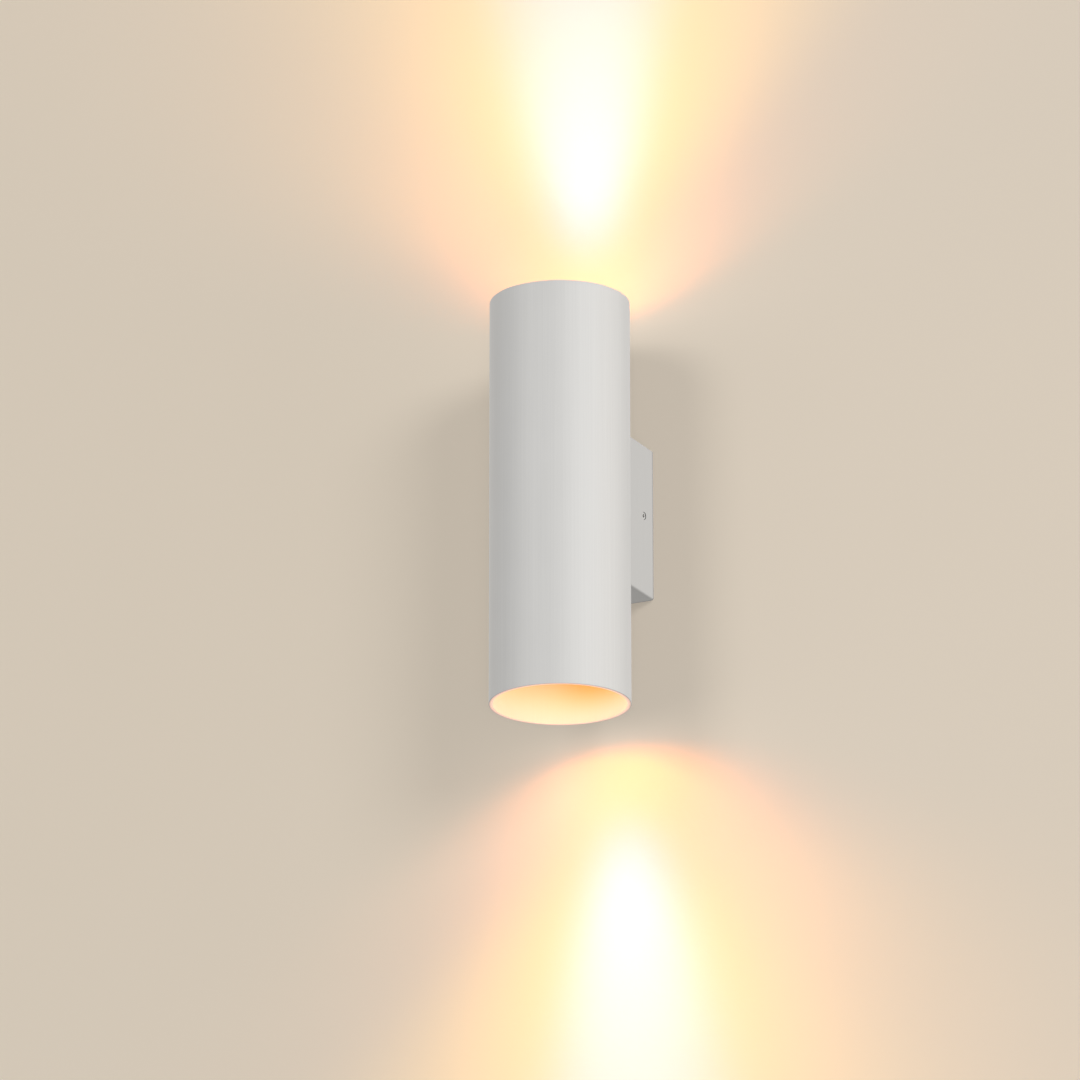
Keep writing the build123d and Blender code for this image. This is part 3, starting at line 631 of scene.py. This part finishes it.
inner_skin, rim_skin = 35.0, 35.6
rear_u = tube_radius * math.asin(window_half_x / tube_radius)
fine_u, fine_z = rear_u + 3, 38.0
tube_columns = ticks((-fine_u, 0), (fine_u, 48), (2 * math.pi * tube_radius - fine_u, 144))
end_rows = ticks((fine_z, 0), (tube_half - 2, 10), (tube_half, 2))
tube_rows = np.concatenate([-end_rows[::-1], ticks((-fine_z, 0), (fine_z, 84))[1:-1], end_rows])
tube_shell = pierced_sheet(
    round_tube(tube_radius), round_tube(tube_bore), tube_solid, tube_columns, tube_rows, closed=True)
satin = anodised("satin anodised tube", (0.69, 0.685, 0.675), (0.81, 0.805, 0.795), 0.44, (1, 1, 160))
from_axis = from_tube_axis(satin)
# Painted lamp light: the bore and rims glow by emission. Deeper in, and more so towards +X, painted shade
# turns the glow and the base colour a darker orange.
depth = tube_half - abs(satin.along("Z"))
deep = depth.eased(0.0, 22.0) * (0.50 + 0.50 * satin.along("X").eased(-26.0, 2.0))
painted_bore_glow = satin.mix(deep, (0.70, 0.30, 0.17, 1), (0.62, 0.13, 0.015, 1))
painted_mouth_glow = satin.mix(from_axis > inner_skin, painted_bore_glow, (0.45, 0.20, 0.10, 1))
bore_or_rim = (from_axis < inner_skin).math("MAXIMUM", depth < 0.5)
lit = (from_axis < rim_skin) * (1 - depth.eased(20.0, 36.0)) * bore_or_rim
satin.vary("Emission Color", satin.mix(lit, (0, 0, 0, 1), painted_mouth_glow))
satin.vary("Base Color", satin.mix(lit * deep, satin.colour, (0.70, 0.55, 0.28, 1)))
satin.shader.inputs["Emission Strength"].default_value = 1.0
make_piece("outer_tube", [tube_shell], satin, "fitting", ["tube_body"], edge=0.3)


# ---------------------------------------------------------------- wall box
# Four aluminium walls of 2.5 mm and a hollow saddle that fits the tube, open to the wall, anodised as the
# tube is. It stops a millimetre short of the wall, and its last millimetre is painted darker as painted
# shadow of that gap. A boss in each side wall is tapped for a set screw.
box_half_x, box_half_z, box_wall, box_corner, box_rear_y = 26.7, 40.5, 2.5, 1.2, -1.0
set_screw_y, set_screw_z, boss_radius, boss_depth, tapped_radius = -11.5, 2.1, 4.0, 3.0, 2.05
saddle_radius, saddle_sheet, saddle_inset = 36.05, 2.0, 1.2


def rectangle_line(s, half_x, half_z, corner):
    """The point at s along a rounded rectangle, from the middle of its right side upwards, as x and z."""
    edge_x, edge_z = half_x - corner, half_z - corner
    quarter = corner * math.pi / 2
    lengths = [edge_z, quarter, 2 * edge_x, quarter, 2 * edge_z, quarter, 2 * edge_x, quarter, edge_z]
    lengths = np.cumsum(lengths)
    start = np.concatenate([[0], lengths[:-1]])
    part = np.clip(np.searchsorted(lengths, s, side="right"), 0, 8)
    t = s - start[part]
    turn = t / corner
    middle = ((edge_x, edge_z), (-edge_x, edge_z), (-edge_x, -edge_z), (edge_x, -edge_z))
    x = [np.full_like(s, half_x)]
    z = [t]
    for side, (mid_x, mid_z) in enumerate(middle):
        bend = turn + side * math.pi / 2
        x.append(mid_x + corner * np.cos(bend))
        z.append(mid_z + corner * np.sin(bend))
        ahead = (side + 1) * math.pi / 2
        x.append(mid_x + corner * math.cos(ahead) - t * math.sin(ahead))
        z.append(mid_z + corner * math.sin(ahead) + t * math.cos(ahead))
    return np.choose(part, x), np.choose(part, z)


def box_face(half_x, half_z, saddle):
    """A wall's face: s along the outer outline scaled to this one, t from the rear rim to the saddle."""
    def face(s, t):
        x, z = rectangle_line(s, box_half_x, box_half_z, box_corner)
        x = np.clip(x, -half_x, half_x)
        z = np.clip(z, -half_z, half_z)
        front = axis_y + np.sqrt(saddle**2 - np.minimum(np.abs(x), saddle) ** 2)
        return np.stack([x, box_rear_y + (front - box_rear_y) * t, z], -1)
    return face


perimeter = 4 * (box_half_x + box_half_z - 2 * box_corner) + 2 * math.pi * box_corner
side_depth = axis_y + math.sqrt(saddle_radius**2 - box_half_x**2) - box_rear_y


def box_solid(s, t):
    """The walls less the two tapped holes for the set screws, a little above the middle of each side."""
    y = box_rear_y + side_depth * t
    near = np.minimum(np.abs(s - set_screw_z), np.abs(s - perimeter / 2 + set_screw_z))
    return np.hypot(near, y - set_screw_y) - tapped_radius


edge_z, edge_x, quarter = box_half_z - box_corner, 2 * (box_half_x - box_corner), box_corner * math.pi / 2
near_hole = 6.0
stops, reached = [(0.0, 0)], 0.0
for length, steps in (
    (near_hole, 18),
    (edge_z - near_hole, 12),
    (quarter, 5),
    (edge_x, 44),
    (quarter, 5),
    (edge_z - near_hole, 12),
    (near_hole, 18),
):
    reached += length
    stops.append((reached, steps))
half_columns = ticks(*stops)
box_columns = np.concatenate([half_columns, perimeter / 2 + half_columns[1:]])
depth_rows = ticks((0, 0), (0.22, 4), (0.55, 24), (1.0, 8))
walls = pierced_sheet(
    box_face(box_half_x, box_half_z, saddle_radius),
    box_face(box_half_x - box_wall, box_half_z - box_wall, 37.0),
    box_solid, box_columns, depth_rows, closed=True)


def saddle_face(radius):
    """A cylinder about the tube's axis, given by x and z."""
    def face(x, z):
        return np.stack([x, axis_y + np.sqrt(radius**2 - x**2), z], -1)
    return face


saddle_half_x, saddle_half_z = box_half_x - saddle_inset, box_half_z - saddle_inset
saddle_columns = ticks((-saddle_half_x, 0), (saddle_half_x, 72))
saddle_rows = ticks((-saddle_half_z, 0), (saddle_half_z, 92))
saddle = pierced_sheet(
    saddle_face(saddle_radius), saddle_face(saddle_radius + saddle_sheet), rear_openings,
    saddle_columns, saddle_rows)
boss_end = boss_depth + 0.5
boss_outline = softened([
    (tapped_radius, 0.0), (boss_radius, 0.0), (boss_radius, boss_end), (tapped_radius, boss_end)
], 0.15)
boss_start_x = box_half_x - 5.5
bosses = [
    put(turned(boss_outline), (side * boss_start_x, set_screw_y, set_screw_z), turn)
    for side, turn in ((1, "right"), (-1, "left"))
]
box_satin = anodised("satin anodised box", (0.62, 0.615, 0.605), (0.70, 0.695, 0.685), 0.46, (40, 1, 40))
# Painted shadow: the box's rear millimetre is darker, standing in for the shade in the gap at the wall.
painted_gap_shadow = box_satin.along("Y") > box_rear_y - 1.0
box_satin.vary("Base Color", box_satin.mix(painted_gap_shadow, box_satin.colour, (0.50, 0.49, 0.48, 1)))
box_shells = [walls, saddle, *bosses]
make_piece("wall_housing", box_shells, box_satin, "fitting", ["wall_box"], edge=0.25)


# ---------------------------------------------------------------- screws through saddle and tube
# Four pan screws from inside the box hold saddle, tube and carrier together, each with a plain washer. Two go
# into the carrier's web and two into hexagon nuts, which bear on the bore by their corners.
centreline_steel = screw_steel("saddle screw steel", "Y", axis_y + 18.0, axis_y + 38.55, 0.5)
washer_steel = plated("washer steel", (0.56, 0.57, 0.59), (0.72, 0.72, 0.73), 0.32)
finish_node(centreline_steel, "carrier_screws", "box_screws")
finish_node(washer_steel, "carrier_screw_washers", "box_screw_washers", "box_nuts")


# ---------------------------------------------------------------- set screws
# A stainless set screw in each side of the box, M4 with a 2 mm hexagon socket, its end just below the
# surface. Its bevelled point bears on the bracket's flange.
screw_radius, screw_length, thread_pitch, socket_corner = 2.0, 6.2, 0.7, 2.0 / math.sqrt(3)
thread_heights = np.linspace(0.9, screw_length - 0.35, 62)
screw_outline = np.concatenate([
    [(0.0, 0.0), (1.2, 0.0)],
    np.column_stack([np.full_like(thread_heights, screw_radius), thread_heights]),
    [(1.7, screw_length), (1.28, screw_length), (socket_corner, screw_length - 0.12)],
    [(socket_corner, screw_length - 2.0), (0.5, screw_length - 2.3), (0.0, screw_length - 2.35)],
])


def threaded(angle, radius, height):
    """A 60 degree thread where the radius is full, one turn a pitch, and a hexagon in the socket."""
    turns = height / thread_pitch - angle / (2 * math.pi)
    groove = 0.42 * thread_pitch * np.abs(2 * (turns - np.floor(turns)) - 1)
    hexagon = math.cos(math.pi / 6) / np.cos((angle + math.pi / 6) % (math.pi / 3) - math.pi / 6)
    cut = np.where(radius > screw_radius - 0.01, radius - groove, radius)
    return np.where((radius < socket_corner + 0.01) & (height > 1.0), radius * hexagon, cut)


stainless = plated("stainless screw", (0.80, 0.79, 0.78), (0.90, 0.89, 0.88), 0.30)
tip_x = box_half_x - 6.5
for name, side, turn in (("right_set_screw", 1, "right"), ("left_set_screw", -1, "left")):
    screw = turned(screw_outline, ring=False, count=72, shape=threaded)
    screw = put(screw, (side * tip_x, set_screw_y, set_screw_z), turn)
    make_piece(f"{name}_threaded", [screw], stainless, name, [name], sharp=40)


# ---------------------------------------------------------------- lamps
# Reflector lamps of 50 mm on a twist-lock base: a cast, finned shell round the board, the light source and
# its reflector cup, closed by a ringed front disc. The lower one is the same lamp turned over.
lamp_z, bowl_foot, bowl_knee, bowl_wall = 34.65, 10.5, 39.5, 1.2
fin_count, fin_depth = 18, 1.4
shell_metal = plated("cast lamp shell", (0.44, 0.44, 0.44), (0.58, 0.58, 0.57), 0.55)
base_plastic = moulded("white lamp base", (0.72, 0.71, 0.68), (0.80, 0.79, 0.76), 0.38, 0.15)
nickel = plated("nickel pin", (0.58, 0.55, 0.50), (0.72, 0.69, 0.64), 0.24)
board_white = moulded("white board", (0.70, 0.71, 0.70), (0.80, 0.81, 0.80), 0.34, 0.25)
mirror = plated("reflector coating", (0.80, 0.80, 0.80), (0.90, 0.90, 0.89), 0.18)
phosphor = Finish("phosphor", Roughness=0.5, Emission_Strength=2.0)
speckle = phosphor.noise(0.3, detail=3.0)
phosphor.vary("Base Color", phosphor.mix(speckle, (0.80, 0.52, 0.06, 1), (0.90, 0.66, 0.14, 1)))
phosphor.vary("Emission Color", phosphor.mix(speckle, (1.0, 0.62, 0.20, 1), (1.0, 0.78, 0.38, 1)))

bowl_turns = np.linspace(0, 1, 15)[:, None]
bowl = (1 - bowl_turns) ** 2 * [14.4, bowl_foot] + 2 * bowl_turns * (1 - bowl_turns) * [21.2, 25.0]
bowl = bowl + bowl_turns**2 * [24.0, bowl_knee]
rim = softened([
    (24.0, bowl_knee), (25.0, 41.0), (25.0, 47.0), (23.8, 47.0), (23.8, 41.0), (22.8, bowl_knee)
], 0.35, ring=False)
shell_outline = np.concatenate([bowl, rim[1:-1], (bowl - [bowl_wall, 0.0])[::-1]])


def finned(angle, radius, height):
    """Eighteen upright fins outside the bowl, 1.6 mm wide and 1.4 mm deep, that die out at foot and knee."""
    outer = np.arange(len(shell_outline))[None, :] < len(bowl)
    from_fin = np.abs((angle / (2 * math.pi) * fin_count + 0.5) % 1.0 - 0.5)
    from_fin = from_fin * 2 * math.pi / fin_count * radius
    fin = np.clip((1.05 - from_fin) / 0.5, 0, 1)
    ends = np.clip((height - bowl_foot) / 2, 0, 1) * np.clip((bowl_knee - height) / 1.5, 0, 1)
    return np.where(outer, radius + fin_depth * fin * ends, radius)


lens_rings = np.arange(0.0, 22.9, 0.25)
ring_pitch, ring_depth = 1.6, 0.12
lens_front = 46.4 - ring_depth - ring_depth * np.cos(lens_rings / ring_pitch * 2 * math.pi) - 0.1
lens_outline = np.concatenate([
    [(0.0, 44.8), (23.3, 44.8), (23.75, 45.1), (23.75, 46.0), (23.4, 46.35), (23.0, 46.35)],
    np.column_stack([lens_rings, lens_front])[::-1],
])
lens = Finish("lit front disc", Roughness=0.28, Emission_Strength=2.0)
prism_inputs = {"Vector": lens.place((600, 600, 0)), "Scale": 1.0}
prisms = lens.node("ShaderNodeTexVoronoi", {"distance": "CHEBYCHEV"}, prism_inputs)
lens_glow = (1 - from_tube_axis(lens).eased(3.0, 23.0)) * 0.75 + prisms * 0.25
lens.shader.inputs["Base Color"].default_value = (0.8, 0.78, 0.72, 1)
lens.vary("Emission Color", lens.mix(lens_glow, (1.0, 0.42, 0.13, 1), (1.0, 0.56, 0.27, 1)))
lens.relief(prisms, 0.08)

for half, turn in (("upper", "up"), ("lower", "down")):
    side = 1 if half == "upper" else -1
    at = (0.0, axis_y, side * lamp_z)
    body = f"{half}_lamp"
    shell = put(turned(shell_outline, count=288, shape=finned), at, turn)
    shell_node = f"{half}_lamp_shell"
    make_piece(f"{half}_finned_shell", [shell], shell_metal, body, [shell_node], sharp=50)
    disc = put(turned(lens_outline, ring=False, count=128), at, turn)
    make_piece(f"{half}_front_disc", [disc], lens, body, [f"{half}_lamp_lens"], sharp=60)
    finish_node(base_plastic, f"{half}_lamp_base")
    finish_node(nickel, f"{half}_lamp_pins")
    finish_node(board_white, f"{half}_lamp_board")
    finish_node(mirror, f"{half}_lamp_reflector")
    finish_node(phosphor, f"{half}_lamp_emitter")


# ---------------------------------------------------------------- room
# A matt painted wall behind the light and a pale floor well below it. Only the camera sees them, from their
# front, and their paint gives off part of its own tone, so they stay pale in every view.
def make_stage(name, corners, finish):
    """A flat backdrop through four corners, given so that its face turns to the room."""
    mesh = bpy.data.meshes.new(name)
    mesh.from_pydata(np.array(corners, float) / 1000, [], [(0, 1, 2, 3)])
    mesh.materials.append(finish.material)
    stage = bpy.data.objects.new(name, mesh)
    bpy.context.scene.collection.objects.link(stage)


def for_camera(finish):
    """Leaves the backdrop out behind its face, and for all rays but the camera's own."""
    shown = 1 - finish.node("ShaderNodeNewGeometry", output="Backfacing")
    shown = shown * finish.node("ShaderNodeLightPath", output="Is Camera Ray")
    clear = finish.node("ShaderNodeBsdfTransparent")
    paint = Reading(finish, finish.shader.outputs[0])
    shown_paint = finish.node("ShaderNodeMixShader", inputs=[shown, clear, paint])
    finish.tree.links.new(shown_paint.socket, finish.tree.nodes["Material Output"].inputs["Surface"])


wall_paint = Finish("wall paint", Roughness=0.9, Specular_IOR_Level=0.1, Emission_Strength=0.48)
roller = wall_paint.noise(3.0, detail=4.0)
# Painted light: the wall's colour grows lighter towards the right, as light falls on it, with slow random
# clouds in its tone.
tone_and_painted_light = wall_paint.noise(180.0) * 0.3 + wall_paint.along("X").eased(-200, 150) * 0.7
cream = wall_paint.mix(tone_and_painted_light, (0.68, 0.602, 0.50, 1), (0.73, 0.646, 0.542, 1))
wall_paint.vary("Base Color", cream)
wall_paint.vary("Emission Color", cream)
wall_paint.relief(roller, 0.05)
for_camera(wall_paint)
wall_y, floor_z, room_half, wall_top = 0.5, -1500, 4000, 3000
wall_corners = [(-room_half, wall_y, floor_z), (room_half, wall_y, floor_z)]
wall_corners += [(room_half, wall_y, wall_top), (-room_half, wall_y, wall_top)]
make_stage("wall", wall_corners, wall_paint)
floor_paint = Finish("floor", Roughness=0.7, Specular_IOR_Level=0.2, Emission_Strength=0.75)
pale = floor_paint.mix(floor_paint.noise(60.0, detail=4.0), (0.62, 0.60, 0.57, 1), (0.66, 0.64, 0.61, 1))
floor_paint.vary("Base Color", pale)
floor_paint.vary("Emission Color", pale)
for_camera(floor_paint)
floor_corners = [(-room_half, -room_half, floor_z), (room_half, -room_half, floor_z)]
floor_corners += [(room_half, room_half, floor_z), (-room_half, room_half, floor_z)]
make_stage("floor", floor_corners, floor_paint)

world = bpy.data.worlds.new("soft room")
bpy.context.scene.world = world
world.use_nodes = True
room = Graph(world.node_tree)
direction = room.node("ShaderNodeTexCoord", output="Generated")
x, y, z = (room.node("ShaderNodeSeparateXYZ", inputs=[direction], output=axis) for axis in range(3))
# Mirrored in metal, the room is brighter to the right and darker to the left and low behind; what it lights
# diffusely is dim in front, where the suns do that, and brighter behind.
low_behind = y.eased(-0.1, 0.3) * (1 - z.eased(-0.45, 0.2))
around = 0.80 + x.eased(0.2, 0.95) * 0.24 - (1 - x.eased(-0.95, -0.4)) * 0.20 - low_behind * 0.38
tone = room.mix(y.eased(-0.05, 0.10), (1.0, 0.995, 0.98, 1), (1.0, 0.98, 0.95, 1))
seen = room.node("ShaderNodeLightPath", output="Is Camera Ray")
from_wall = room.node("ShaderNodeLightPath", output="Diffuse Depth") > 0.5
mirrored = room.node("ShaderNodeLightPath", output="Is Glossy Ray") * (1 - from_wall)
diffuse_ray = room.node("ShaderNodeLightPath", output="Is Diffuse Ray")
scattered = 0.06 + diffuse_ray * y.eased(0.0, 0.3) * 0.7
strength = seen * 0.85 + (1 - seen) * (mirrored * around + (1 - mirrored) * scattered)
sky = room.node("ShaderNodeBackground", inputs={"Color": tone, "Strength": strength})
room.tree.links.new(sky.socket, world.node_tree.nodes["World Output"].inputs["Surface"])


def make_lamp(name, kind, energy, colour, at, towards, **settings):
    """A light that shines from one point to another."""
    light = bpy.data.lights.new(name, kind)
    light.energy = energy
    light.color = colour
    for key, value in settings.items():
        setattr(light, key, value)
    lamp = bpy.data.objects.new(name, light)
    bpy.context.scene.collection.objects.link(lamp)
    place = np.array(at) / 1000
    way = np.array(towards) / 1000 - place
    lamp.location = place
    lamp.rotation_mode = "QUATERNION"
    lamp.rotation_quaternion = Vector(way).to_track_quat("-Z", "Y")
    lamp.visible_camera = False
    lamp.visible_glossy = False
    return lamp


def from_side(side, height):
    """A point 3 m off, that many degrees to the right of the light's front and above it."""
    side, height = math.radians(side), math.radians(height)
    way = [math.sin(side) * math.cos(height), -math.cos(side) * math.cos(height), math.sin(height)]
    return np.array(way) * 3000


# Each sun's energy, the degrees to the right and above that it comes from, and its width in degrees. The key
# casts the light's shadow on its right and the second casts the one on its left.
daylight = (1.0, 0.985, 0.96)
for name, energy, side, height, spread in (
    ("key", 0.58, -21, 24, 24),
    ("second", 0.85, 51, 15, 20),
    ("fill", 0.30, 26.5, -19, 12),
    ("rear", 1.5, 160, 10, 60),
):
    make_lamp(name, "SUN", energy, daylight, from_side(side, height), (0, 0, 0), angle=math.radians(spread))

# The beam of each lamp, as four spots inside the mouth: how the light fades with distance, energy, colour,
# place from the tube's axis and the light's middle, lean across a step of one outwards, cone in degrees and
# size in metres. The lower mouth has x the other way round. The falloffs agree at 0.15 m.
falloff_distance = 0.15
falloff_strength = {"Quadratic": 1.0, "Linear": 1 / falloff_distance, "Constant": 1 / falloff_distance**2}
glows = (
    ("core", "Constant", 3.2, (0.0, 0.185, 1.0), (-7.5, 11.4, 84.0), (-0.036, 0.335), 36, 0.0182),
    ("spill", "Quadratic", 1.0, (1.0, 0.291, 0.014), (-7.7, -9.3, 86.7), (-0.213, 0.108), 171, 0.0147),
    ("throw", "Quadratic", 4.1, (1.0, 0.55, 0.064), (-3.9, -12.6, 87.0), (-0.434, -0.696), 144, 0.0182),
    ("beam", "Linear", 3.8, (1.0, 0.618, 0.0), (4.2, -0.5, 90.3), (0.001, -0.298), 109, 0.0209),
)
for body, side in (("upper_lamp", 1), ("lower_lamp", -1)):
    for name, fading, energy, colour, off, lean, spread, size in glows:
        at = np.array([side * off[0], axis_y + off[1], side * off[2]])
        away = at + np.array([side * lean[0], lean[1], side]) * 100
        glow = make_lamp(f"{body}_{name}", "SPOT", energy, colour, at, away,
                         spot_size=math.radians(spread), spot_blend=1.0, shadow_soft_size=size)
        glow.data.use_nodes = True
        lamp_graph = Graph(glow.data.node_tree)
        strength_inputs = {"Strength": falloff_strength[fading]}
        falloff = lamp_graph.node("ShaderNodeLightFalloff", inputs=strength_inputs, output=fading)
        lamp_graph.tree.links.new(falloff.socket, lamp_graph.tree.nodes["Emission"].inputs["Strength"])
        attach(glow, body)
    # A weak light that the bore mirrors, and one just outside the mouth that lights the wall next to it
    at = (0, axis_y, side * 97.0)
    inside = make_lamp(
        f"{body}_inside", "POINT", 0.008, (1.0, 0.62, 0.34), at, (0, 0, 0), shadow_soft_size=0.018)
    inside.visible_glossy = True
    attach(inside, body)
    at = (0, axis_y, side * 112.0)
    halo = make_lamp(f"{body}_halo", "POINT", 0.024, (1.0, 0.86, 0.81), at, (0, 0, 0), shadow_soft_size=0.012)
    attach(halo, body)


# ---------------------------------------------------------------- camera
# It looks up at the light from its right, from far off, as the photograph does.
turn, tilt, distance = math.radians(26.5), math.radians(-18.98), 3.424
back = np.array([math.sin(turn) * math.cos(tilt), -math.cos(turn) * math.cos(tilt), math.sin(tilt)])
right = np.array([math.cos(turn), math.sin(turn), 0.0])
above = np.cross(back, right)
middle = np.array([0.0, axis_y / 1000, 0.0])
camera_data = bpy.data.cameras.new("camera")
camera_data.lens = 224.4
camera_data.sensor_width = 36.0
camera_data.clip_end = 30.0
camera = bpy.data.objects.new("camera", camera_data)
bpy.context.scene.collection.objects.link(camera)
camera.location = middle + back * distance
aim_left, aim_below = 0.01014, 0.01907
aim = middle - right * aim_left - above * aim_below
camera.rotation_mode = "QUATERNION"
camera.rotation_quaternion = Vector(aim - (middle + back * distance)).to_track_quat("-Z", "Y")
bpy.context.scene.camera = camera
bpy.context.scene.view_settings.view_transform = "Standard"
